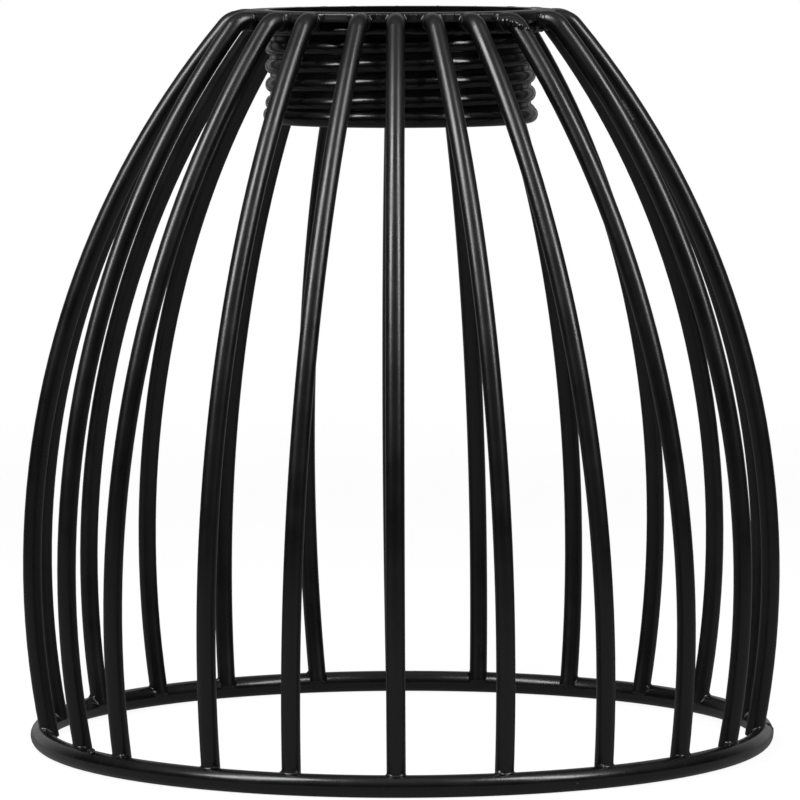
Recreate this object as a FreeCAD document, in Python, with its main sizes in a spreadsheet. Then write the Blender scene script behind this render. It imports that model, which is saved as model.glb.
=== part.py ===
import FreeCAD, Part
import math
import os
import Sketcher
from FreeCAD import Placement, Rotation, Vector

# Bulb cage guard: a ring of wire at the foot, ribs of round rod welded on top of it by hand,
# a flat washer that the ribs meet at the top, and a threaded sleeve hanging in the washer.
# Millimetres, +Z up, origin on the floor under the middle of the foot ring, front is -Y.

doc = FreeCAD.newDocument("BulbCageGuard")
sheet = doc.addObject("Spreadsheet::Sheet", "Sizes")

SIZES = [
    # whole guard, from the floor to the washer's top face
    ("cage_height", 112.2),
    # foot ring: centre line radius and wire diameter
    ("ring_radius", 55.3),
    ("ring_wire", 3.3),
    # ribs: number, rod diameter, and the turn of the first one from the front in degrees
    ("rib_count", 22),
    ("rib_rod", 2.8),
    ("rib_turn", -1.2),
    # ribs: one long arc on the rod's centre line, between the foot and the bend at the top
    ("rib_arc_radius", 128.1),
    # ribs: how far inside the ring wire's centre and above it the sawn foot is, which sets its saddle
    ("rib_foot_inset", 1.06),
    ("rib_foot_rise", 0.9),
    # ribs: the tight bend that lays the rod flat, and the short straight tail up to the washer
    ("rib_bend_radius", 2.8),
    ("rib_tail", 0.7),
    # washer: width round the sleeve's neck, thickness and the softened corners of its rim
    ("washer_width", 3.0),
    ("washer_thickness", 1.45),
    ("washer_edge", 0.4),
    # sleeve: sheet, length below the washer's top face, and bore on the thread's inner lands
    ("sheet_thickness", 0.6),
    ("sleeve_length", 17.2),
    ("thread_bore_radius", 19.25),
    # rolled thread: depth, pitch, plain root between two ridges, and the turn of its lower start
    ("thread_depth", 0.72),
    ("thread_pitch", 2.78),
    ("thread_root", 0.48),
    ("thread_turn", -60),
    # neck of the sleeve that the washer's hole holds: how far it comes below the washer
    # and how far it stands out past the thread
    ("neck_below_washer", 0.5),
    ("neck_past_thread", 0.13),
    # rolled bead round the sleeve's mouth: how much taller and prouder it is than a ridge
    ("bead_over_ridge", 0.2),
    ("bead_past_thread", 0.33),
    ("mouth_round", 0.3),
]

# Ribs as they were set and welded by hand, from the front one anticlockwise, in degrees: how far
# the foot is from its even place round the ring, how far the rib leans sideways, and how far it is
# swung about its foot
HAND_SET = [
    (0.3, 0.1, 0.2),
    (0.7, 1.3, -0.9),
    (1.4, 3.2, -5.3),
    (1.1, 3.1, -4.4),
    (-0.7, -0.3, 0.1),
    (0.9, 1, -2.5),
    (3.5, -1, 2.4),
    (6.6, 1, -4.9),
    (5.4, 1.3, -5),
    (4.1, -0.8, 1.9),
    (4.3, -0.9, 3.8),
    (2.5, -0.5, 1.8),
    (-0.6, -1.8, 4.1),
    (0, 1.8, -4.8),
    (-2.1, 0.1, 4),
    (-2.6, 2, -1.1),
    (-1.1, 1, -1.1),
    (1.5, 1, -2.5),
    (5.6, 1.2, 3.3),
    (0.7, -1.8, 5.9),
    (3, -1.3, 6.9),
    (0.3, -1.8, 4),
]
SETTINGS = ("shift", "lean", "swing")


def rib_name(number):
    return f"rib_{number + 1:02d}"


for row, (alias, value) in enumerate(SIZES, start=1):
    sheet.set(f"A{row}", alias)
    sheet.set(f"B{row}", str(value))
    sheet.setAlias(f"B{row}", alias)
for number in range(dict(SIZES)["rib_count"]):
    by_hand = HAND_SET[number] if number < len(HAND_SET) else (0, 0, 0)
    for column, setting, degrees in zip("DEF", SETTINGS, by_hand):
        cell = f"{column}{number + 1}"
        sheet.set(cell, str(degrees))
        sheet.setAlias(cell, f"{rib_name(number)}_{setting}")
doc.recompute()

# Derived rules, written with the sheet's aliases and shared by every piece that meets there
WIRE_RADIUS = "(Sizes.ring_wire / 2)"
ROD_RADIUS = "(Sizes.rib_rod / 2)"
TAIL_HEIGHT = f"(Sizes.cage_height - {ROD_RADIUS})"
BORE = "Sizes.thread_bore_radius"
ROOT = f"({BORE} + Sizes.sheet_thickness)"
NECK_SWELL = "(Sizes.thread_depth + Sizes.neck_past_thread)"
NECK_OUTER = f"({ROOT} + {NECK_SWELL})"
NECK_INNER = f"({BORE} + {NECK_SWELL})"
RIM_RADIUS = f"({NECK_OUTER} + Sizes.washer_width)"
# how far a cut, or the end that it trims, reaches past the face that it makes
REACH_PAST = 0.6
# how deep the ridge's two ends lie inside the bead and the neck
BURIED = 0.05


def size(alias):
    return float(sheet.get(alias))


def evaluate(rule):
    # the number that a rule gives with the sheet's present values
    return float(sheet.evalExpression(rule))


def arc_over(half_chord, swell):
    # the rule for the radius of an arc that swells so far over a chord
    return f"(({half_chord} ^ 2 + {swell} ^ 2) / (2 * {swell}))"


def origin_feature(body, role):
    return next(f for f in body.Origin.OriginFeatures if f.Role == role)


def sketch_on(body, name, role):
    sketch = body.newObject("Sketcher::SketchObject", name)
    sketch.AttachmentSupport = [(origin_feature(body, role), "")]
    sketch.MapMode = "FlatFace"
    return sketch


def drive(sketch, kind, *places, rule):
    # adds a constraint and binds its value to the sheet
    index = sketch.addConstraint(Sketcher.Constraint(kind, *places, evaluate(rule)))
    sketch.setExpression(f"Constraints[{index}]", rule)


def chain(sketch, corners, arcs=None, closed=True):
    # joins corners, each a pair of rules, by lines; arcs maps a side's number to its radius rule
    # and to the side of travel it swells to: +1 right, -1 left
    arcs = arcs or {}
    points = [Vector(evaluate(across), evaluate(up), 0) for across, up in corners]
    count = len(points) if closed else len(points) - 1
    ends = []
    for i in range(count):
        start, end = points[i], points[(i + 1) % len(points)]
        if i in arcs:
            rule, way = arcs[i]
            radius = evaluate(rule)
            chord = end - start
            rise = math.sqrt(radius**2 - (chord.Length / 2) ** 2)
            right = Vector(chord.y, -chord.x, 0).normalize()
            crown = (start + end) * 0.5 + right * (way * (radius - rise))
            side = sketch.addGeometry(Part.Arc(start, crown, end), False)
            drive(sketch, "Radius", side, rule=rule)
        else:
            side = sketch.addGeometry(Part.LineSegment(start, end), False)
        # an arc in a sketch runs anticlockwise, so its first end may be the later corner
        flipped = (sketch.getPoint(side, 1) - start).Length > (
            sketch.getPoint(side, 1) - end
        ).Length
        ends.append((side, 2, 1) if flipped else (side, 1, 2))
    for (side, _, last), (following, first, _) in zip(ends, ends[1:] + ends[:1]):
        if following != ends[0][0] or closed:
            sketch.addConstraint(Sketcher.Constraint("Coincident", side, last, following, first))
    for i, (side, first, last) in enumerate(ends):
        hold_point(sketch, side, first, *corners[i])
        if not closed and i == count - 1:
            hold_point(sketch, side, last, *corners[i + 1])


def hold_point(sketch, side, end, across, up):
    for kind, rule in (("DistanceX", across), ("DistanceY", up)):
        drive(sketch, kind, -1, 1, side, end, rule=rule)


def turned_cut(body, name, sketch, angle=360):
    # turns a section about the guard's axis, as much to one side as to the other, and takes it away
    cut = body.newObject("PartDesign::Groove", name)
    cut.Profile = sketch
    cut.ReferenceAxis = (sketch, ["V_Axis"])
    cut.Midplane = angle < 360
    cut.Angle = angle


# Foot ring: one wire bent to a circle, resting on the floor
ring = doc.addObject("Part::Torus", "bottom_ring")
ring.Label = "bottom_ring"
ring.setExpression("Radius1", "Sizes.ring_radius")
ring.setExpression("Radius2", WIRE_RADIUS)
ring.setExpression("Placement.Base.z", WIRE_RADIUS)

# Washer: a flat disc with softened rim corners and a hole that takes the sleeve's neck
washer = doc.addObject("PartDesign::Body", "top_plate")
washer.Label = "top_plate"
washer.setExpression("Placement.Base.z", "Sizes.cage_height - Sizes.washer_thickness")
disc_sketch = sketch_on(washer, "DiscOutline", "XY_Plane")
for rule in (RIM_RADIUS, NECK_OUTER):
    circle = disc_sketch.addGeometry(
        Part.Circle(Vector(0, 0, 0), Vector(0, 0, 1), evaluate(rule)), False
    )
    disc_sketch.addConstraint(Sketcher.Constraint("Coincident", circle, 3, -1, 1))
    drive(disc_sketch, "Radius", circle, rule=rule)
disc = washer.newObject("PartDesign::Pad", "Disc")
disc.Profile = disc_sketch
disc.setExpression("Length", "Sizes.washer_thickness")
doc.recompute()
rim_edges = [
    f"Edge{number}"
    for number, edge in enumerate(disc.Shape.Edges, start=1)
    if isinstance(edge.Curve, Part.Circle)
    and abs(edge.Curve.Radius - evaluate(RIM_RADIUS)) < 1e-6
]
soft_rim = washer.newObject("PartDesign::Fillet", "SoftRim")
soft_rim.Base = (disc, rim_edges)
soft_rim.setExpression("Radius", "Sizes.washer_edge")

# Sleeve: a turned blank with a swollen neck above and a rolled bead below, then the rolled thread,
# a rounded ridge outside and its groove inside on one helix, then the neck's wider bore
sleeve = doc.addObject("PartDesign::Body", "thread_sleeve")
sleeve.Label = "thread_sleeve"
sleeve.Placement = Placement(Vector(0, 0, 0), Rotation(Vector(0, 0, 1), size("thread_turn")))
sleeve.setExpression("Placement.Rotation.Angle", "Sizes.thread_turn * 1 deg")
sleeve.setExpression("Placement.Base.z", "Sizes.cage_height - Sizes.sleeve_length")
LENGTH = "Sizes.sleeve_length"
NECK_FOOT = f"({LENGTH} - Sizes.washer_thickness - Sizes.neck_below_washer)"
FLARE_FOOT = f"({NECK_FOOT} - {NECK_SWELL})"
RIDGE_HALF = "((Sizes.thread_pitch - Sizes.thread_root) / 2)"
BEAD_HALF = f"({RIDGE_HALF} + Sizes.bead_over_ridge / 2)"
BEAD_SWELL = "(Sizes.thread_depth + Sizes.bead_past_thread)"
BEAD_ARC = arc_over(BEAD_HALF, BEAD_SWELL)
blank_sketch = sketch_on(sleeve, "BlankSection", "XZ_Plane")
chain(
    blank_sketch,
    [
        (BORE, "Sizes.mouth_round"),
        (f"{BORE} + Sizes.mouth_round", "0"),
        (ROOT, "0"),
        (ROOT, f"2 * {BEAD_HALF}"),
        (ROOT, FLARE_FOOT),
        (NECK_OUTER, NECK_FOOT),
        (NECK_OUTER, LENGTH),
        (BORE, LENGTH),
    ],
    arcs={0: ("Sizes.mouth_round", 1), 2: (BEAD_ARC, 1)},
)
blank = sleeve.newObject("PartDesign::Revolution", "Blank")
blank.Profile = blank_sketch
blank.ReferenceAxis = (blank_sketch, ["V_Axis"])
blank.Angle = 360
doc.recompute()

# the ridge starts inside the bead and ends inside the neck, so neither end shows
RIDGE_ARC = arc_over(RIDGE_HALF, "Sizes.thread_depth")
RIDGE_START = f"({BEAD_HALF} - {BURIED})"
RIDGE_END = f"({LENGTH} - {RIDGE_HALF} - {BURIED})"
buried = f"({ROOT} - Sizes.sheet_thickness / 3)"
ridge_sketch = sketch_on(sleeve, "RidgeSection", "XZ_Plane")
chain(
    ridge_sketch,
    [
        (buried, f"{RIDGE_START} - {RIDGE_HALF}"),
        (ROOT, f"{RIDGE_START} - {RIDGE_HALF}"),
        (ROOT, f"{RIDGE_START} + {RIDGE_HALF}"),
        (buried, f"{RIDGE_START} + {RIDGE_HALF}"),
    ],
    arcs={1: (RIDGE_ARC, 1)},
)
ridge = sleeve.newObject("PartDesign::AdditiveHelix", "ThreadRidge")
ridge.Profile = ridge_sketch
ridge.ReferenceAxis = (ridge_sketch, ["V_Axis"])
ridge.Mode = "pitch-height-angle"
ridge.setExpression("Pitch", "Sizes.thread_pitch")
ridge.setExpression("Height", f"{RIDGE_END} - {RIDGE_START}")
doc.recompute()

# the groove follows one sheet's thickness inside the ridge, from below the mouth to above the neck
GROOVE_ARC = f"({RIDGE_ARC} - Sizes.sheet_thickness)"
GROOVE_HALF = f"sqrt({GROOVE_ARC} ^ 2 - (Sizes.thread_depth - {GROOVE_ARC}) ^ 2)"
GROOVE_START = f"({RIDGE_START} - Sizes.thread_pitch)"
inside = f"({BORE} - {REACH_PAST})"
groove_sketch = sketch_on(sleeve, "GrooveSection", "XZ_Plane")
chain(
    groove_sketch,
    [
        (inside, f"{GROOVE_START} - {GROOVE_HALF}"),
        (BORE, f"{GROOVE_START} - {GROOVE_HALF}"),
        (BORE, f"{GROOVE_START} + {GROOVE_HALF}"),
        (inside, f"{GROOVE_START} + {GROOVE_HALF}"),
    ],
    arcs={1: (GROOVE_ARC, 1)},
)
groove = sleeve.newObject("PartDesign::SubtractiveHelix", "ThreadGroove")
groove.Profile = groove_sketch
groove.ReferenceAxis = (groove_sketch, ["V_Axis"])
groove.Mode = "pitch-height-angle"
groove.setExpression("Pitch", "Sizes.thread_pitch")
groove.setExpression("Height", f"{LENGTH} + {GROOVE_HALF} - {GROOVE_START}")
doc.recompute()

neck_sketch = sketch_on(sleeve, "NeckBore", "XZ_Plane")
chain(
    neck_sketch,
    [
        (inside, f"{FLARE_FOOT} - {REACH_PAST}"),
        (NECK_INNER, NECK_FOOT),
        (NECK_INNER, f"{LENGTH} + {REACH_PAST}"),
        (inside, f"{LENGTH} + {REACH_PAST}"),
    ],
)
turned_cut(sleeve, "NeckCut", neck_sketch)
doc.recompute()

# Rib: round rod on one path, flat tail under the washer's top face, tight bend, long arc, foot;
# the tail is cut back to the washer's rim and the foot is saddled over the ring's wire
FOOT = ("(Sizes.ring_radius - Sizes.rib_foot_inset)", f"({WIRE_RADIUS} + Sizes.rib_foot_rise)")
BEND = (f"({RIM_RADIUS} + Sizes.rib_tail)", f"({TAIL_HEIGHT} - Sizes.rib_bend_radius)")
# the rod starts well inside the rim, because a leaning rib meets it beside its own middle
TAIL_START = f"({RIM_RADIUS} - 2 * {REACH_PAST})"
# the long arc's centre is one radius from the foot and, so that the two arcs run on smoothly,
# one radius less the bend's from the bend's centre
FLAT_RADIUS = "(Sizes.rib_arc_radius - Sizes.rib_bend_radius)"
ACROSS = f"({BEND[0]} - {FOOT[0]})"
UP = f"({BEND[1]} - {FOOT[1]})"
SPAN = f"sqrt({ACROSS} ^ 2 + {UP} ^ 2)"
ALONG = f"((Sizes.rib_arc_radius ^ 2 - {FLAT_RADIUS} ^ 2 + {SPAN} ^ 2) / (2 * {SPAN}))"
ASIDE = f"sqrt(Sizes.rib_arc_radius ^ 2 - {ALONG} ^ 2)"
CENTRE = (
    f"({FOOT[0]} + ({ALONG} * {ACROSS} - {ASIDE} * {UP}) / {SPAN})",
    f"({FOOT[1]} + ({ALONG} * {UP} + {ASIDE} * {ACROSS}) / {SPAN})",
)
RUN_ON = f"Sizes.rib_arc_radius / {FLAT_RADIUS}"
MEETING = tuple(f"{CENTRE[i]} + ({BEND[i]} - {CENTRE[i]}) * {RUN_ON}" for i in (0, 1))
# degrees of the ring and of the rim that shape one rib's ends, well past the rod's own width
SEAT_TURN = 40


def make_rib(number):
    name = rib_name(number)
    lean = f"Sizes.{name}_lean"
    swing = f"Sizes.{name}_swing"
    # the foot stays where it is while the rib swings about it
    slip = f"{FOOT[0]} * (1 - cos({swing}))"
    drift = f"{FOOT[0]} * sin({swing})"
    # the guard's own axis and upright plane, as the leaning and swung rib sees them
    upright = f"placement(vector({slip}; 0; -{drift}); rotation(0; -{swing}; -{lean}))"
    body = doc.addObject("PartDesign::Body", name)
    body.Label = name
    path = sketch_on(body, f"{name}_Path", "XZ_Plane")
    chain(
        path,
        [(TAIL_START, TAIL_HEIGHT), (BEND[0], TAIL_HEIGHT), MEETING, FOOT],
        arcs={1: ("Sizes.rib_bend_radius", -1), 2: ("Sizes.rib_arc_radius", -1)},
        closed=False,
    )
    section = sketch_on(body, f"{name}_Rod", "YZ_Plane")
    section.setExpression("AttachmentOffset.Base.z", TAIL_START)
    rod = section.addGeometry(
        Part.Circle(Vector(0, evaluate(TAIL_HEIGHT), 0), Vector(0, 0, 1), evaluate(ROD_RADIUS)),
        False,
    )
    drive(section, "Radius", rod, rule=ROD_RADIUS)
    section.addConstraint(Sketcher.Constraint("PointOnObject", rod, 3, -2))
    drive(section, "DistanceY", -1, 1, rod, 3, rule=TAIL_HEIGHT)
    sweep = body.newObject("PartDesign::AdditivePipe", f"{name}_Sweep")
    sweep.Profile = section
    sweep.Spine = path
    tail_end = sketch_on(body, f"{name}_TailEnd", "XZ_Plane")
    low = f"{TAIL_HEIGHT} - Sizes.rib_rod"
    high = f"{TAIL_HEIGHT} + Sizes.rib_rod"
    clear = f"{TAIL_START} - {REACH_PAST}"
    chain(
        tail_end,
        [
            (clear, low),
            (RIM_RADIUS, low),
            (RIM_RADIUS, high),
            (clear, high),
        ],
    )
    tail_end.setExpression("AttachmentOffset", upright)
    turned_cut(body, f"{name}_RimSeat", tail_end, SEAT_TURN)
    wire = sketch_on(body, f"{name}_Wire", "XZ_Plane")
    seat = wire.addGeometry(
        Part.Circle(
            Vector(size("ring_radius"), evaluate(WIRE_RADIUS), 0),
            Vector(0, 0, 1),
            evaluate(WIRE_RADIUS),
        ),
        False,
    )
    drive(wire, "Radius", seat, rule=WIRE_RADIUS)
    hold_point(wire, seat, 3, "Sizes.ring_radius", WIRE_RADIUS)
    wire.setExpression("AttachmentOffset", upright)
    turned_cut(body, f"{name}_Saddle", wire, SEAT_TURN)
    turn = f"Sizes.rib_turn - 90 + {number} * 360 / Sizes.rib_count + Sizes.{name}_shift"
    stand = f"placement(vector(0; 0; 0); rotation({turn}; 0; {lean}))"
    about_foot = f"placement(vector({slip}; -{drift}; 0); rotation({swing}; 0; 0))"
    body.setExpression("Placement", f"{stand} * {about_foot}")
    return body


ribs = [make_rib(number) for number in range(int(size("rib_count")))]
doc.recompute()

# Every feature is sound and every piece is one closed solid before anything is written
for item in doc.Objects:
    if {"Invalid", "Error"} & set(item.State):
        raise RuntimeError(f"{item.Name} failed: {item.State}")
pieces = [ring, washer, sleeve, *ribs]
for piece in pieces:
    shape = piece.Shape
    if shape.isNull() or not shape.isValid() or len(shape.Solids) != 1:
        raise RuntimeError(f"{piece.Label} is not one sound solid")
if groove.Shape.Volume >= ridge.Shape.Volume or ridge.Shape.Volume <= blank.Shape.Volume:
    raise RuntimeError("the thread is missing from the sleeve")

os.makedirs("parts", exist_ok=True)
for piece in pieces:
    piece.Shape.exportStep(f"parts/{piece.Label}.step")
    print(piece.Label, round(piece.Shape.Volume, 2), piece.Shape.BoundBox)
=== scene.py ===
# %% [markdown]
# # A wire cage guard for a light bulb
#
# The real object is a small steel cage that screws round a lamp holder and
# keeps hands and ladders off the glass. Twenty-two bent rods stand on a ring
# of thicker wire and meet a washer at the top. A pressed sleeve with a rolled
# thread hangs in the middle of the washer. All of it is welded, then coated
# in glossy black powder.
#
# The solids come ready made from the CAD model, so this lesson adds what a
# solid model lacks: the weld metal in the corners, the flaws of hand work,
# the coat, and the light of a small studio.

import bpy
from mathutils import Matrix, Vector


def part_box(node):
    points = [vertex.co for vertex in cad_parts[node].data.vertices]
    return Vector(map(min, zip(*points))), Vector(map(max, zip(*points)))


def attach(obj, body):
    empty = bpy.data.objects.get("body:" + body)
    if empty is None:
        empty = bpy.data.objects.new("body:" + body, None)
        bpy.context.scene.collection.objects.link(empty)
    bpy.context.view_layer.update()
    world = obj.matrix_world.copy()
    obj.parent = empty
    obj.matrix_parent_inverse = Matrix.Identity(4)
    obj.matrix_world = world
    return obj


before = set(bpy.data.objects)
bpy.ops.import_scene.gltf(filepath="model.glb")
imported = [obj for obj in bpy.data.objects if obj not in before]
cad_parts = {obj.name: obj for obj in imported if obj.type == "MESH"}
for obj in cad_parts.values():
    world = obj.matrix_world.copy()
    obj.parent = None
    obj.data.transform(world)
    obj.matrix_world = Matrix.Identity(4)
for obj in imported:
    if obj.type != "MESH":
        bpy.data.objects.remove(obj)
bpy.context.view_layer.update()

# %% Keep the size that the CAD model has
import math

import bpy
from mathutils import Matrix, Vector

# %% [markdown]
# ## Sizes that the welds need
#
# A weld sits in the corner between two parts, so its place follows from
# theirs. The ring and the washer can be measured by their boxes. A rod is
# bent and leans, which a box doesn't tell, so its radii and the places where
# it ends and bends are written down here, in the rod's own upright plane.
# They are the ones that the CAD model uses.

# %% Measure the ring and the washer
ring_low, ring_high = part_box("bottom_ring")
washer_low, washer_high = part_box("top_plate")

WIRE_RADIUS = (ring_high.z - ring_low.z) / 2
RING_RADIUS = ring_high.x - WIRE_RADIUS
WASHER_RADIUS = washer_high.x
WASHER_MIDDLE = (washer_low.z + washer_high.z) / 2
print("ring", round(RING_RADIUS, 5), "wire", round(WIRE_RADIUS, 5), "washer", round(WASHER_RADIUS, 5))

# %% Write down how a rod is bent
ROD_RADIUS = 0.0014
FOOT = Vector((0.05424, 0, 0.00255))
ARC_RADIUS = 0.1281
ARC_CENTRE_INWARD, ARC_CENTRE_UP = 0.12569, 0.02475
BEND_CENTRE = Vector((0.0244, 0, 0.108))
BEND_RADIUS = 0.0028
TAIL_HEIGHT = 0.1108

FOOT_LEAN = math.atan2(ARC_CENTRE_UP, ARC_CENTRE_INWARD)
ALONG = Vector((math.sin(FOOT_LEAN), 0, math.cos(FOOT_LEAN)))
ASIDE = Vector((math.cos(FOOT_LEAN), 0, -math.sin(FOOT_LEAN)))
ARC_CENTRE = FOOT - ARC_RADIUS * ASIDE
print("a rod leans outwards at its foot by", round(math.degrees(FOOT_LEAN), 1), "degrees")

# %% [markdown]
# ## How each rod stands
#
# The rods were set by hand, and no two stand quite alike. Each has three
# small angles: how far its foot is from its even place round the ring, how
# far it leans sideways, and how far it is swung about its foot. The CAD model
# places its rods by the same numbers, so the welds below find them.

# %% List the three angles of every rod, from the front one anticlockwise
HAND_SET = (
    (0.3, 0.1, 0.2), (0.7, 1.3, -0.9), (1.4, 3.2, -5.3), (1.1, 3.1, -4.4), (-0.7, -0.3, 0.1), (0.9, 1, -2.5),
    (3.5, -1, 2.4), (6.6, 1, -4.9), (5.4, 1.3, -5), (4.1, -0.8, 1.9), (4.3, -0.9, 3.8), (2.5, -0.5, 1.8),
    (-0.6, -1.8, 4.1), (0, 1.8, -4.8), (-2.1, 0.1, 4), (-2.6, 2, -1.1), (-1.1, 1, -1.1), (1.5, 1, -2.5),
    (5.6, 1.2, 3.3), (0.7, -1.8, 5.9), (3, -1.3, 6.9), (0.3, -1.8, 4),
)
FRONT = -91.2
print(len(HAND_SET), "rods")


# %% Write the helpers that give a rod's turn and place
def rod_turn(number):
    return math.radians(FRONT + number * 360 / len(HAND_SET) + HAND_SET[number][0])


def rod_place(number):
    lean, swing = (math.radians(angle) for angle in HAND_SET[number][1:])
    slip = Vector((FOOT.x * (1 - math.cos(swing)), -FOOT.x * math.sin(swing), 0))
    stand = Matrix.Rotation(rod_turn(number), 4, "Z") @ Matrix.Rotation(lean, 4, "X")
    return stand @ Matrix.Translation(slip) @ Matrix.Rotation(swing, 4, "Z")


print("the front rod stands at", [round(1000 * n, 2) for n in rod_place(0) @ FOOT])

# %% [markdown]
# ## The camera
#
# The picture was taken from a little above the washer, from nearly a metre
# away, with a long lens: the back of the ring shows above its front, but the
# rods hardly grow towards the camera. A long lens far away gives that flat
# look, where a short lens close by would bulge the middle of the cage.

# %% Stand the camera where the picture was taken
CAMERA_PLACE = (0, -0.886, 0.1325)
AIM = Vector((-0.0002, 0, 0.0526))
ROLL = -0.13

bpy.context.scene.view_settings.view_transform = "Standard"
bpy.ops.object.camera_add(location=CAMERA_PLACE)
camera = bpy.context.object
camera.name = "front_camera"
camera.data.sensor_width = 36
camera.data.lens = 262
camera.data.clip_start = 0.05
camera.data.clip_end = 20
camera.rotation_euler = (AIM - camera.location).to_track_quat("-Z", "Y").to_euler()
camera.rotation_euler.rotate_axis("Z", math.radians(ROLL))
bpy.context.scene.camera = camera
print("camera looks down by", round(math.degrees(math.pi / 2 - camera.rotation_euler.x), 2), "degrees")

# %% [markdown]
# ## A short way to wire nodes
#
# Every material below is a handful of nodes and links. One helper adds a
# node, fills in its settings and its inputs, and links what it is given as a
# socket. It keeps the wiring readable, and it works the same way in a
# material, in a node group and in the world. Sums, ranges and blends of two
# numbers are wanted most, so these three get short forms.


# %% Write the helper that adds a node
def add_node(tree, kind, inputs=(), **settings):
    node = tree.nodes.new(kind)
    for key, value in settings.items():
        setattr(node, key, value)
    for key, value in dict(inputs).items():
        if isinstance(value, bpy.types.NodeSocket):
            tree.links.new(value, node.inputs[key])
        else:
            node.inputs[key].default_value = value
    return node


# %% Write the short forms for sums, ranges and blends
def add_math(tree, operation, *values, clamp=False):
    node = add_node(tree, "ShaderNodeMath", enumerate(values), operation=operation, use_clamp=clamp)
    return node.outputs[0]


def add_range(tree, value, given, wanted=(0.0, 1.0), curve="LINEAR"):
    limits = {"From Min": given[0], "From Max": given[1], "To Min": wanted[0], "To Max": wanted[1]}
    node = add_node(tree, "ShaderNodeMapRange", {"Value": value, **limits}, interpolation_type=curve)
    return node.outputs["Result"]


def add_choice(tree, factor, low, high):
    node = add_node(tree, "ShaderNodeMix", {"Factor": factor, 2: low, 3: high}, data_type="FLOAT")
    return node.outputs[0]


# %% Write the helper that starts an empty material
def empty_material(name):
    material = bpy.data.materials.new(name)
    material.use_nodes = True
    material.node_tree.nodes.clear()
    return material, material.node_tree


# %% [markdown]
# ## The floor
#
# The guard stands on white paper that runs on without an end. A disc is
# enough, if its edge fades out. The paper is lit by the lamps, and for the
# eye of the camera most of its white is its own, so that only a breath of
# the shadow is left, as in the picture. The undersides in the picture hardly
# mirror the paper, so for mirrored rays it is dimmer.

# %% Lay the paper
PAPER_RADIUS = 0.6
BELOW_THE_RING = 0.00002

bpy.ops.mesh.primitive_circle_add(vertices=96, radius=PAPER_RADIUS, fill_type="NGON",
                                  location=(0, 0, -BELOW_THE_RING))
floor = bpy.context.object
floor.name = "paper_floor"
bpy.ops.object.transform_apply(location=True, rotation=True, scale=True)
print("paper is", round(floor.dimensions.x, 2), "m across")

# %% Find how far the paper has faded and which rays see its own white
PAPER_FADE = (0.3, 0.58)
OWN_SHARE = 0.84
WHITE_SEEN, WHITE_MIRRORED = 1.08, 0.13

paper, tree = empty_material("white_paper")
where = add_node(tree, "ShaderNodeTexCoord")
reach = add_node(tree, "ShaderNodeVectorMath", {0: where.outputs["Object"]}, operation="LENGTH")
fade = add_range(tree, reach.outputs["Value"], PAPER_FADE, curve="SMOOTHSTEP")
path = add_node(tree, "ShaderNodeLightPath")
seen = add_math(tree, "ADD", path.outputs["Is Camera Ray"], path.outputs["Is Transmission Ray"])
mirrored = add_math(tree, "MAXIMUM", path.outputs["Is Glossy Ray"], seen)
own = add_math(tree, "MULTIPLY", mirrored, OWN_SHARE, clamp=True)
shine = add_choice(tree, path.outputs["Is Glossy Ray"], WHITE_SEEN, WHITE_MIRRORED)
print("the lamps' share of the paper's white:", round(1 - OWN_SHARE, 2))

# %% Give the paper its white
lit = add_node(tree, "ShaderNodeBsdfDiffuse", {"Color": (0.8, 0.8, 0.8, 1)})
glow = add_node(tree, "ShaderNodeEmission", {"Color": (1, 1, 1, 1), "Strength": shine})
sheet = add_node(tree, "ShaderNodeMixShader", {0: own, 1: lit.outputs[0], 2: glow.outputs[0]})
gone = add_node(tree, "ShaderNodeBsdfTransparent")
edge = add_node(tree, "ShaderNodeMixShader", {0: fade, 1: sheet.outputs[0], 2: gone.outputs[0]})
add_node(tree, "ShaderNodeOutputMaterial", {"Surface": edge.outputs[0]})
floor.data.materials.append(paper)
print("paper nodes:", len(tree.nodes))

# %% [markdown]
# ## The room
#
# What a glossy black rod shows is mostly the room around it. The rods in the
# picture look black in their middle, so the room is dark beside the camera.
# It gets paler towards the ceiling, and the white behind the guard shows a
# little along the edges. An even white world would turn the black coat grey.
# So the world is white for the camera and dim for scattered light, and for
# mirrored rays it follows the height and the depth of the ray's direction.

# %% Work out what a mirrored ray sees
CEILING_CURVE, CEILING_LIGHT, DARKEST = 1.6, 0.5, 0.015
OVERHEAD, OVERHEAD_LIGHT = (-0.1, 0.6), (1.0, 0.4)
BEHIND, BEHIND_LIGHT = (0.4, 0.95), (0.0, 0.42)

room = bpy.data.worlds.new("studio_room")
bpy.context.scene.world = room
room.use_nodes = True
tree = room.node_tree
tree.nodes.clear()
where = add_node(tree, "ShaderNodeTexCoord")
axes = add_node(tree, "ShaderNodeSeparateXYZ", {0: where.outputs["Generated"]})
height = add_math(tree, "MAXIMUM", axes.outputs["Z"], 0.0)
climb = add_math(tree, "POWER", height, CEILING_CURVE)
ceiling = add_math(tree, "MULTIPLY_ADD", climb, CEILING_LIGHT, DARKEST)
depth = add_range(tree, axes.outputs["Y"], OVERHEAD, OVERHEAD_LIGHT, curve="SMOOTHSTEP")
above = add_math(tree, "MULTIPLY", ceiling, depth)
behind = add_range(tree, axes.outputs["Y"], BEHIND, BEHIND_LIGHT, curve="SMOOTHSTEP")
mirrored = add_math(tree, "MAXIMUM", above, behind)
print("the ceiling mirrors at most", round(CEILING_LIGHT + DARKEST, 3), "of white")

# %% Paint the room
SCATTERED_LIGHT = 0.3

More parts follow.
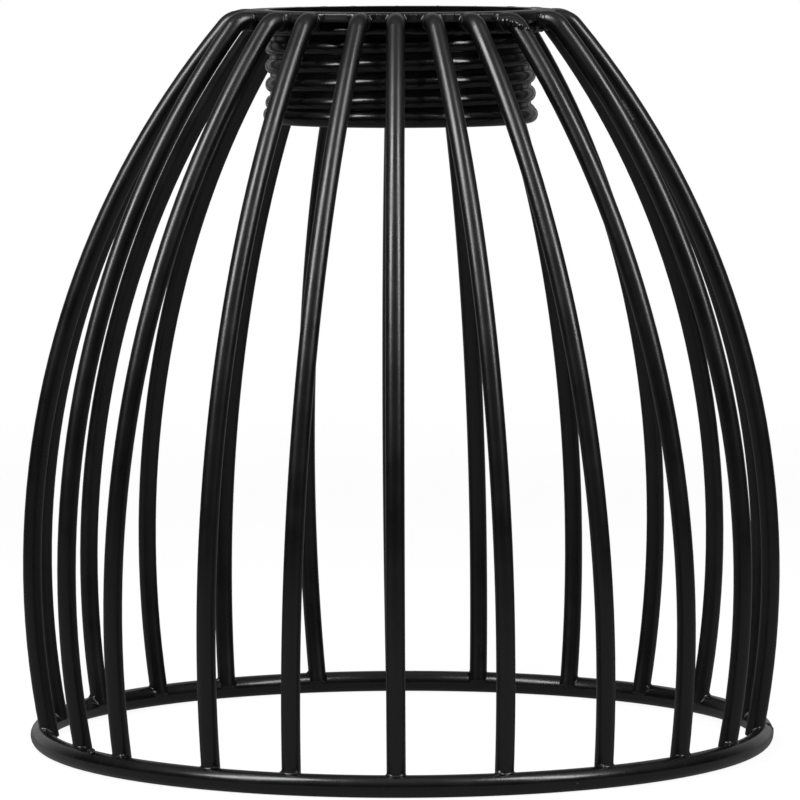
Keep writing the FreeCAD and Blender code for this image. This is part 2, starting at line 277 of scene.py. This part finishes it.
path = add_node(tree, "ShaderNodeLightPath")
soft = add_choice(tree, path.outputs["Is Glossy Ray"], SCATTERED_LIGHT, mirrored)
seen = add_math(tree, "ADD", path.outputs["Is Camera Ray"], path.outputs["Is Transmission Ray"], clamp=True)
level = add_choice(tree, seen, soft, 1.0)
back = add_node(tree, "ShaderNodeBackground", {"Color": (1, 1, 1, 1), "Strength": level})
add_node(tree, "ShaderNodeOutputWorld", {"Surface": back.outputs[0]})
print("room nodes:", len(tree.nodes))

# %% [markdown]
# ## The lamps
#
# Two softboxes stand close by, one on each side of the camera and well above
# the guard. Each draws one bright line down every rod and one along the top
# of the ring. Small lamps would give thin hard lines, and one large lamp
# would wash the black out. The boxes are turned a little about their own
# axes, as they are in the picture.

# %% Write the helper that hangs a lamp and turns it to the cage
CAGE_MIDDLE = Vector((0, 0, 0.056))
LAMP_DISTANCE = 0.45
LAMP_LENGTH = 0.275


def hang_lamp(name, azimuth, elevation, width, roll, watts):
    turn, rise = math.radians(azimuth), math.radians(elevation)
    way = Vector((math.sin(turn) * math.cos(rise), -math.cos(turn) * math.cos(rise), math.sin(rise)))
    bpy.ops.object.light_add(type="AREA", location=CAGE_MIDDLE + way * LAMP_DISTANCE)
    lamp = bpy.context.object
    lamp.name = name
    lamp.data.shape = "RECTANGLE"
    lamp.data.size = width
    lamp.data.size_y = LAMP_LENGTH
    lamp.data.energy = watts
    lamp.rotation_euler = way.to_track_quat("Z", "Y").to_euler()
    lamp.rotation_euler.rotate_axis("Z", math.radians(roll))
    lamp.visible_camera = False


# %% Hang the two lamps
hang_lamp("left_lamp", azimuth=-53, elevation=41, width=0.125, roll=-18, watts=1.7)
hang_lamp("right_lamp", azimuth=52, elevation=39, width=0.09, roll=14, watts=1.2)

# %% [markdown]
# ## The powder coat
#
# Powder is sprayed on as dust and melts in the oven to a thick glossy skin.
# The skin never gets quite flat. It keeps a fine ripple, which painters call
# orange peel, and here and there a grain that didn't melt. Both break up the
# bright lines on the rods. The ripple and the grains are wanted in every
# finish below, so they are made once as a node group that gives a height, a
# roughness and a colour.

# %% Build the group that makes the skin of the coat
skin = bpy.data.node_groups.new("powder_skin", "ShaderNodeTree")
for socket, low, high, value in (("Ripple Size", 0.0, 10000.0, 900.0), ("Ripple", 0.0, 2.0, 1.0),
                                 ("Grains", 0.0, 2.0, 1.0), ("Roughness", 0.0, 1.0, 0.3)):
    made = skin.interface.new_socket(socket, in_out="INPUT", socket_type="NodeSocketFloat")
    made.min_value, made.max_value, made.default_value = low, high, value
skin.interface.new_socket("Height", in_out="OUTPUT", socket_type="NodeSocketFloat")
skin.interface.new_socket("Roughness", in_out="OUTPUT", socket_type="NodeSocketFloat")
skin.interface.new_socket("Color", in_out="OUTPUT", socket_type="NodeSocketColor")
print("skin sockets:", [s.name for s in skin.interface.items_tree])

# %% Wire the ripple and the grains to a height
GRAIN_DENSITY = 520.0
GRAIN_EDGE, GRAIN_TOP = 0.16, 0.02

given = add_node(skin, "NodeGroupInput")
where = add_node(skin, "ShaderNodeTexCoord")
peel = add_node(skin, "ShaderNodeTexNoise", {"Vector": where.outputs["Object"], "Detail": 2.0,
                                             "Scale": given.outputs["Ripple Size"], "Roughness": 0.4})
waves = add_math(skin, "MULTIPLY", peel.outputs[0], given.outputs["Ripple"])
pits = add_node(skin, "ShaderNodeTexVoronoi", {"Vector": where.outputs["Object"], "Scale": GRAIN_DENSITY})
dots = add_range(skin, pits.outputs["Distance"], (GRAIN_EDGE, GRAIN_TOP))
grain = add_math(skin, "MULTIPLY", dots, given.outputs["Grains"])
height = add_math(skin, "ADD", waves, grain)
print("a grain is", round(1000 * 2 * GRAIN_EDGE / GRAIN_DENSITY, 2), "mm wide at its foot")

# %% Wire the gloss and the colour, which drift a little over the surface
DRIFT_SCALE = 160.0
GLOSS_DRIFT = 0.05
DEEP_BLACK, PALE_BLACK = (0.0012, 0.0012, 0.0013, 1), (0.0028, 0.0028, 0.003, 1)

cloud = add_node(skin, "ShaderNodeTexNoise", {"Vector": where.outputs["Object"], "Detail": 3.0,
                                              "Scale": DRIFT_SCALE})
sway = add_range(skin, cloud.outputs[0], (0.3, 0.7), (-GLOSS_DRIFT, GLOSS_DRIFT))
gloss = add_math(skin, "ADD", given.outputs["Roughness"], sway)
tone = add_node(skin, "ShaderNodeMix", {"Factor": cloud.outputs[0], 6: DEEP_BLACK, 7: PALE_BLACK},
                data_type="RGBA")
add_node(skin, "NodeGroupOutput", {"Height": height, "Roughness": gloss, "Color": tone.outputs[2]})
print("skin nodes:", len(skin.nodes))


# %% Write the helper that mixes one finish of the coat
def coat(name, ripple_size, ripple, grains, roughness, lift=0.00001, index=1.52):
    material, tree = empty_material(name)
    amounts = {"Ripple Size": ripple_size, "Ripple": ripple, "Grains": grains, "Roughness": roughness}
    group = add_node(tree, "ShaderNodeGroup", node_tree=skin)
    for key, value in amounts.items():
        group.inputs[key].default_value = value
    bump = add_node(tree, "ShaderNodeBump", {"Height": group.outputs["Height"], "Strength": 1.0,
                                             "Distance": lift})
    shell = add_node(tree, "ShaderNodeBsdfPrincipled", {"Base Color": group.outputs["Color"], "IOR": index,
                                                        "Roughness": group.outputs["Roughness"],
                                                        "Normal": bump.outputs["Normal"]})
    add_node(tree, "ShaderNodeOutputMaterial", {"Surface": shell.outputs[0]})
    return material


# %% [markdown]
# ## The finishes
#
# One pot of powder covers the whole guard, but the coat doesn't come out
# alike everywhere. The ring has the smoothest skin and the rods a slightly
# duller one. The flat top of the washer is dull, the sleeve in the shade of
# the cage mirrors less, and on the welds the coat is lumpy. One shader could
# do it with masks, but a finish for each is easier to match to the picture.

# %% Mix the finishes
coat_on_rods = coat("coat_on_rods", ripple_size=900, ripple=1.0, grains=0.3, roughness=0.31)
coat_on_ring = coat("coat_on_ring", ripple_size=700, ripple=1.0, grains=0.3, roughness=0.25)
coat_on_plate = coat("coat_on_plate", ripple_size=700, ripple=1.0, grains=0.6, roughness=0.42, lift=0.000014)
coat_on_sleeve = coat("coat_on_sleeve", ripple_size=700, ripple=0.6, grains=0.3, roughness=0.2, index=1.42)
coat_on_welds = coat("coat_on_welds", ripple_size=600, ripple=1.2, grains=0.4, roughness=0.3)
coat_on_smear = coat("coat_on_smear", ripple_size=600, ripple=1.2, grains=1.0, roughness=0.5)
print("finishes:", [m.name for m in bpy.data.materials if m.name.startswith("coat_on")])

# %% Coat the CAD nodes
finishes = {"bottom_ring": coat_on_ring, "top_plate": coat_on_plate, "thread_sleeve": coat_on_sleeve}

for name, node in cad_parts.items():
    node.data.materials.clear()
    node.data.materials.append(finishes.get(name, coat_on_rods))
print("coated", len(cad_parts), "CAD nodes")

# %% [markdown]
# ## How a weld is made here
#
# Each rod is pressed on the ring and welded there by hand, and the melted
# steel draws into the corner as a small fillet with a drop or two beside it.
# It could be modelled by lofting a collar round the rod. Short stubs do it
# with less work: a piece of rod, a piece of ring and a few small balls are
# melted together by a voxel remesh and smoothed. Smoothing draws the outsides
# of the stubs back under the solids and fills the corner, as the real metal
# does. The rods lean each in its own way, so the stubs are placed rod by rod
# and every weld is melted by itself.


# %% Write the helpers that add a stub and a drop
DROP_UNEVENNESS = 0.16


def add_stub(place, radius, length):
    bpy.ops.object.select_all(action="DESELECT")
    bpy.ops.mesh.primitive_cylinder_add(vertices=32, radius=radius, depth=length)
    bpy.context.object.matrix_world = place
    bpy.ops.object.transform_apply(location=True, rotation=True, scale=True)
    return bpy.context.object


def add_drop(place, radius, seed):
    bpy.ops.object.select_all(action="DESELECT")
    bpy.ops.mesh.primitive_ico_sphere_add(subdivisions=3, radius=radius, location=place)
    bpy.ops.object.mode_set(mode="EDIT")
    bpy.ops.mesh.select_all(action="SELECT")
    bpy.ops.transform.vertex_random(offset=DROP_UNEVENNESS * radius, uniform=0.0, normal=1.0, seed=seed)
    bpy.ops.mesh.vertices_smooth(factor=0.5, repeat=3)
    bpy.ops.object.mode_set(mode="OBJECT")
    bpy.ops.object.transform_apply(location=True, rotation=True, scale=True)
    return bpy.context.object


# %% Write the helper that melts stubs and drops to one piece
def melt(pieces, name, voxel, rounds):
    bpy.ops.object.select_all(action="DESELECT")
    for piece in pieces:
        piece.select_set(True)
    whole = pieces[0]
    bpy.context.view_layer.objects.active = whole
    if len(pieces) > 1:
        bpy.ops.object.join()
    whole.name = whole.data.name = name
    bpy.ops.object.modifier_add(type="REMESH")
    whole.modifiers["Remesh"].mode = "VOXEL"
    whole.modifiers["Remesh"].voxel_size = voxel
    bpy.ops.object.modifier_apply(modifier="Remesh")
    bpy.ops.object.modifier_add(type="SMOOTH")
    whole.modifiers["Smooth"].factor = 0.5
    whole.modifiers["Smooth"].iterations = rounds
    bpy.ops.object.modifier_apply(modifier="Smooth")
    return whole


# %% Write the helper that coats a piece and lets it ride
def finish_piece(piece, finish):
    bpy.ops.object.select_all(action="DESELECT")
    piece.select_set(True)
    bpy.context.view_layer.objects.active = piece
    bpy.ops.object.shade_smooth()
    piece.data.materials.clear()
    piece.data.materials.append(finish)
    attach(piece, "root")


# %% [markdown]
# ## The welds at the foot of the rods
#
# The drops lie on the seam, where the round rod meets the round ring. A point
# of the seam is found by sliding up the side of the rod until it is one wire
# radius from the middle of the ring's wire. The innermost side of the rod
# hangs past the ring and has no seam, so the drops keep to the outside and
# the flanks. Two or three at each foot are enough.


# %% Write the helper that finds the seam between rod and ring
def seam_point(angle):
    side = FOOT + ROD_RADIUS * (math.cos(angle) * ASIDE + math.sin(angle) * Vector((0, 1, 0)))
    rise, caution = 0.0015, 0.8
    for _ in range(30):
        point = side + rise * ALONG
        outward = math.hypot(point.x, point.y) - RING_RADIUS
        gap = math.hypot(outward, point.z - WIRE_RADIUS) - WIRE_RADIUS
        rise -= caution * gap
    return side + rise * ALONG


outside, beside = seam_point(0).z, seam_point(math.pi / 2).z
print("height of the seam in mm:", round(1000 * outside, 2), "outside,", round(1000 * beside, 2), "beside")

# %% Set the sizes of a foot weld
import random

torch = random.Random(7)
UNDER_THE_SKIN = 0.00002
LYING = Matrix.Rotation(math.pi / 2, 4, "X")
ON_THE_RING = Matrix.Translation((RING_RADIUS, 0, WIRE_RADIUS))

ROD_STUB_MIDDLE, ROD_STUB_LENGTH = 0.0008, 0.0032
RING_STUB_LENGTH = 0.0042
FOOT_DROP_RADII = (0.00028, 0.00044)
FOOT_DROP_ANGLES = (35, 110)
CORNER_VOXEL = 0.00015
print("the foot welds are melted in steps of", 1000 * CORNER_VOXEL, "mm")

# %% Put a weld at every foot
for number in range(len(HAND_SET)):
    place = rod_place(number)
    stand = Matrix.Translation(FOOT + ALONG * ROD_STUB_MIDDLE) @ Matrix.Rotation(FOOT_LEAN, 4, "Y")
    stubs = [add_stub(place @ stand, ROD_RADIUS, ROD_STUB_LENGTH)]
    beside = Matrix.Rotation(rod_turn(number), 4, "Z") @ (ON_THE_RING @ LYING)
    stubs.append(add_stub(beside, WIRE_RADIUS - UNDER_THE_SKIN, RING_STUB_LENGTH))
    for drop in range(torch.choice((2, 2, 3))):
        side = torch.choice((-1, 1)) * math.radians(torch.uniform(*FOOT_DROP_ANGLES))
        size = torch.uniform(*FOOT_DROP_RADII)
        stubs.append(add_drop(place @ seam_point(side), size, seed=10 * number + drop))
    weld = melt(stubs, f"foot_weld_{number + 1:02d}", voxel=CORNER_VOXEL, rounds=9)
    finish_piece(weld, coat_on_welds)
print("last foot weld:", len(weld.data.polygons), "faces")

# %% [markdown]
# ## The welds at the rim of the washer
#
# At the top each rod ends square against the rim of the washer. The weld
# rounds off the two corners beside the rod, so the washer seems to flow out
# into it. The stubs are a slice of the washer and a short piece of rod. The
# slice is thinner than the washer, so nothing shows above or below it.

# %% Write the helper that cuts a slice of the washer
SLICE_PROUD, SLICE_THICKNESS = 0.0001, 0.0012
SLICE_BEGINS, SLICE_HALF_WIDTH = 0.0218, 0.0023


def washer_slice(turn):
    bpy.ops.object.select_all(action="DESELECT")
    bpy.ops.mesh.primitive_cylinder_add(vertices=256, radius=WASHER_RADIUS + SLICE_PROUD,
                                        depth=SLICE_THICKNESS, location=(0, 0, WASHER_MIDDLE))
    bpy.ops.object.mode_set(mode="EDIT")
    for point, keep in (((SLICE_BEGINS, 0, 0), (1, 0, 0)),
                        ((0, -SLICE_HALF_WIDTH, 0), (0, 1, 0)),
                        ((0, SLICE_HALF_WIDTH, 0), (0, -1, 0))):
        bpy.ops.mesh.select_all(action="SELECT")
        bpy.ops.mesh.bisect(plane_co=point, plane_no=keep, use_fill=True, clear_inner=True)
    bpy.ops.object.mode_set(mode="OBJECT")
    bpy.context.object.rotation_euler.z = turn
    bpy.ops.object.transform_apply(location=True, rotation=True, scale=True)
    return bpy.context.object


# %% Write the helper that finds where a rod meets the rim
def rim_point(place):
    reach = WASHER_RADIUS
    for _ in range(8):
        point = place @ Vector((reach, 0, TAIL_HEIGHT))
        reach += WASHER_RADIUS - math.hypot(point.x, point.y)
    return point, reach


# %% Put a weld at every rod's head
HEAD_STUB_PROUD, HEAD_STUB_LENGTH = 0.0001, 0.0014
HEAD_STUB_OUT, HEAD_STUB_DOWN = 0.0003, 0.00012

for number in range(len(HAND_SET)):
    place = rod_place(number)
    point, reach = rim_point(place)
    stubs = [washer_slice(math.atan2(point.y, point.x))]
    middle = Matrix.Translation((reach + HEAD_STUB_OUT, 0, TAIL_HEIGHT - HEAD_STUB_DOWN))
    level = middle @ Matrix.Rotation(math.pi / 2, 4, "Y")
    stubs.append(add_stub(place @ level, ROD_RADIUS + HEAD_STUB_PROUD, HEAD_STUB_LENGTH))
    weld = melt(stubs, f"rim_weld_{number + 1:02d}", voxel=CORNER_VOXEL, rounds=11)
    finish_piece(weld, coat_on_welds)
print("last rim weld:", len(weld.data.polygons), "faces")

# %% [markdown]
# ## The bead under the washer
#
# The neck of the sleeve sits in the hole of the washer, and a thin bead of
# weld runs round under it. In the picture it shows between the rods as a
# broken bright line, so it can't be even: a torus is roughened, smoothed and
# melted with drops that lie on it at odd distances.

# %% Lay an uneven ring of metal round the neck
NECK_RADIUS = 0.0207
BEAD_RADIUS = 0.0007
BEAD_UNEVENNESS = 0.00014
BEAD_REACH = NECK_RADIUS + 0.0005
BEAD_HEIGHT = washer_low.z - 0.0013

bpy.ops.object.select_all(action="DESELECT")
bpy.ops.mesh.primitive_torus_add(major_segments=180, minor_segments=12, major_radius=BEAD_REACH,
                                 minor_radius=BEAD_RADIUS, location=(0, 0, BEAD_HEIGHT))
bead = bpy.context.object
bpy.ops.object.transform_apply(location=True, rotation=True, scale=True)
bpy.ops.object.mode_set(mode="EDIT")
bpy.ops.mesh.select_all(action="SELECT")
bpy.ops.transform.vertex_random(offset=BEAD_UNEVENNESS, uniform=0.0, normal=1.0, seed=3)
bpy.ops.mesh.vertices_smooth(factor=0.5, repeat=2)
bpy.ops.object.mode_set(mode="OBJECT")
print("the middle of the bead lies", round(1000 * (washer_low.z - BEAD_HEIGHT), 2), "mm under the washer")

# %% Lay drops on it and melt them together
BEAD_DROP_REACH = NECK_RADIUS + 0.0007
BEAD_DROP_HEIGHT = BEAD_HEIGHT - 0.0001
BEAD_DROP_RADII = (0.00045, 0.0007)
BEAD_DROP_STEPS = (0.05, 0.22)

drops = [bead]
angle = 0.0
while angle < math.tau:
    place = (BEAD_DROP_REACH * math.cos(angle), BEAD_DROP_REACH * math.sin(angle), BEAD_DROP_HEIGHT)
    drops.append(add_drop(place, torch.uniform(*BEAD_DROP_RADII), seed=int(1000 * angle)))
    angle += torch.uniform(*BEAD_DROP_STEPS)
neck_bead = melt(drops, "neck_bead", voxel=0.00014, rounds=3)
finish_piece(neck_bead, coat_on_welds)
print("neck bead:", len(neck_bead.data.polygons), "faces,", len(drops) - 1, "drops")

# %% [markdown]
# ## Where the ring was closed
#
# The ring is one length of wire, bent round until its ends meet, and the butt
# weld leaves a small collar on the right. It is the same melt of a wire stub
# and drops, proud on the top and outside and flush below, where it was
# ground to stand flat.

# %% Close the ring
CLOSED_AT = math.radians(-4)
COLLAR_LENGTH = 0.003
COLLAR_DROPS = ((80, 0.0006), (55, 0.0007), (30, 0.00065), (110, 0.00055), (5, 0.0005))
COLLAR_DROP_REACH = WIRE_RADIUS - 0.0004

butt = Matrix.Rotation(CLOSED_AT, 4, "Z") @ ON_THE_RING
stubs = [add_stub(butt @ LYING, WIRE_RADIUS - UNDER_THE_SKIN, COLLAR_LENGTH)]
for number, (above_level, size) in enumerate(COLLAR_DROPS):
    rise = math.radians(above_level)
    place = butt @ Vector((COLLAR_DROP_REACH * math.cos(rise), 0, COLLAR_DROP_REACH * math.sin(rise)))
    stubs.append(add_drop(place, size, seed=500 + number))
ring_seam = melt(stubs, "ring_seam", voxel=0.00016, rounds=4)
finish_piece(ring_seam, coat_on_welds)
print("ring seam:", len(ring_seam.data.polygons), "faces")

# %% [markdown]
# ## Spatter and a smear
#
# A welding torch throws drops that freeze where they land, and the coat
# rounds them over. The picture shows a few, and their places are listed.
# Each is one or more small balls, roughened and half sunk in what it landed
# on, because a ball that only touched would look glued on. Near the top of
# one rod the coat has a dull smear. It is a fan of low drops that widens
# downwards, with a duller finish, so it doesn't glitter as the spatter does.


# %% Write the helpers that give a point on a rod and on the ring
def around_rod(middle, outward, around, depth):
    side = math.cos(math.radians(around)) * outward + math.sin(math.radians(around)) * Vector((0, 1, 0))
    return middle + (ROD_RADIUS - depth) * side


def on_arc(number, height, around, depth):
    rise = math.asin((height - ARC_CENTRE.z) / ARC_RADIUS)
    outward = Vector((math.cos(rise), 0, math.sin(rise)))
    return rod_place(number) @ around_rod(ARC_CENTRE + ARC_RADIUS * outward, outward, around, depth)


def on_bend(number, bend, around):
    down = math.radians(bend)
    outward = Vector((math.sin(down), 0, math.cos(down)))
    return rod_place(number) @ around_rod(BEND_CENTRE + BEND_RADIUS * outward, outward, around, 0.0)


def on_ring(turn, rise, depth=0.0):
    turn, rise = math.radians(turn), math.radians(rise)
    reach = RING_RADIUS + (WIRE_RADIUS - depth) * math.cos(rise)
    height = WIRE_RADIUS + (WIRE_RADIUS - depth) * math.sin(rise)
    return Vector((reach * math.cos(turn), reach * math.sin(turn), height))


# %% Place the spatter, each drop by two angles and a radius
RIM_DROPS = ((10, -80, 0.0007), (26, -70, 0.00078), (42, -56, 0.0007),
             (56, -32, 0.0006), (66, 0, 0.00052), (72, 28, 0.00046))
LEFT_DROPS = ((-145.4, 68, 0.0007), (-144.8, 60, 0.0005))
SPATTERED_ROD, SMEARED_ROD = 3, 4

spatter = {
    "spatter_by_rim": [(on_bend(SPATTERED_ROD, bend, around), size) for bend, around, size in RIM_DROPS],
    "spatter_by_left_foot": [(on_ring(turn, rise), size) for turn, rise, size in LEFT_DROPS],
}
print("drops:", [len(drops) for drops in spatter.values()])

# %% Place the smear and the last drop
SMEAR_TOP, SMEAR_STEP, SMEAR_STEPS = 0.0978, 0.0005, 6
SMEAR_SIDE, SMEAR_SLANT, SMEAR_FAN = 6, 7, 4
SMEAR_SINK, SMEAR_DROP_RADIUS = 0.0002, 0.0006

spatter["smear_on_rod"] = []
for step in range(SMEAR_STEPS):
    for spread in (-SMEAR_FAN, SMEAR_FAN):
        around = SMEAR_SIDE + SMEAR_SLANT * step + spread * step
        place = on_arc(SMEARED_ROD, SMEAR_TOP - SMEAR_STEP * step, around, SMEAR_SINK)
        spatter["smear_on_rod"].append((place, SMEAR_DROP_RADIUS))
spatter["spatter_on_front"] = [(on_ring(-63.5, -12, depth=0.0001), 0.00026)]
print("the smear reaches down over", round(1000 * SMEAR_STEP * (SMEAR_STEPS - 1), 2), "mm")

# %% Melt each group of drops
for name, drops in spatter.items():
    made = [add_drop(place, size, seed=700 + index) for index, (place, size) in enumerate(drops)]
    finish = coat_on_smear if name == "smear_on_rod" else coat_on_welds
    finish_piece(melt(made, name, voxel=0.0001, rounds=6), finish)
print("spatter pieces:", len(spatter))
